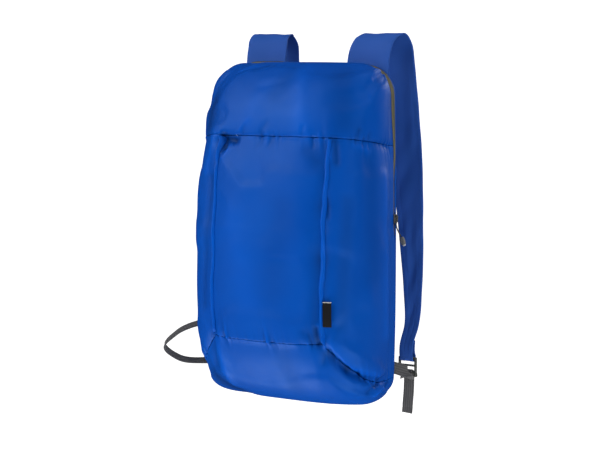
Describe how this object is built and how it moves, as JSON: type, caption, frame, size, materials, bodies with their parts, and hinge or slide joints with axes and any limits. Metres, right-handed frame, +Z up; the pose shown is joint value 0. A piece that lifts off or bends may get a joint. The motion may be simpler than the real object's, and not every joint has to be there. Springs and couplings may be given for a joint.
{
  "type": "packable backpack",
  "caption": "Stuffed packable backpack of thin cloth with a front pocket, a zip over the top and two flat shoulder straps on ladder lock buckles, hung by its straps.",
  "frame": {"origin": "the hang point, midway between the undersides of the two strap arches", "axes": "+Z up along the bag's height; the front faces -Y and the back panel faces +Y; +X to the right as one faces the front"},
  "size_m": [0.3482, 0.206, 0.4816],
  "materials": {
    "blue_cloth": "satin woven polyester",
    "strap_cloth": "satin woven polyester, two layers",
    "zip_tape": "woven tape with a nylon coil",
    "slider_metal": "satin dark lacquer",
    "pull_cord": "braided cord",
    "moulded_end": "matte moulded",
    "grey_webbing": "ribbed woven webbing",
    "buckle_plastic": "satin moulded",
    "label_cloth": "woven tag, bare"
  },
  "bodies": {
    "root": {"yoke_panel": "blue_cloth", "pocket_panel": "blue_cloth", "side_panel_left": "blue_cloth", "side_panel_right": "blue_cloth", "base_panel": "blue_cloth", "back_panel": "blue_cloth", "pocket_welt_left": "blue_cloth", "pocket_welt_right": "blue_cloth", "strap_left": "strap_cloth", "strap_right": "strap_cloth", "main_zip": "zip_tape", "zip_slider": "slider_metal", "zip_pull_loop": "pull_cord", "zip_pull_end": "moulded_end", "webbing_left": "grey_webbing", "webbing_right": "grey_webbing", "buckle_left": "buckle_plastic", "buckle_right": "buckle_plastic", "side_label": "label_cloth"}
  },
  "joints": []
}
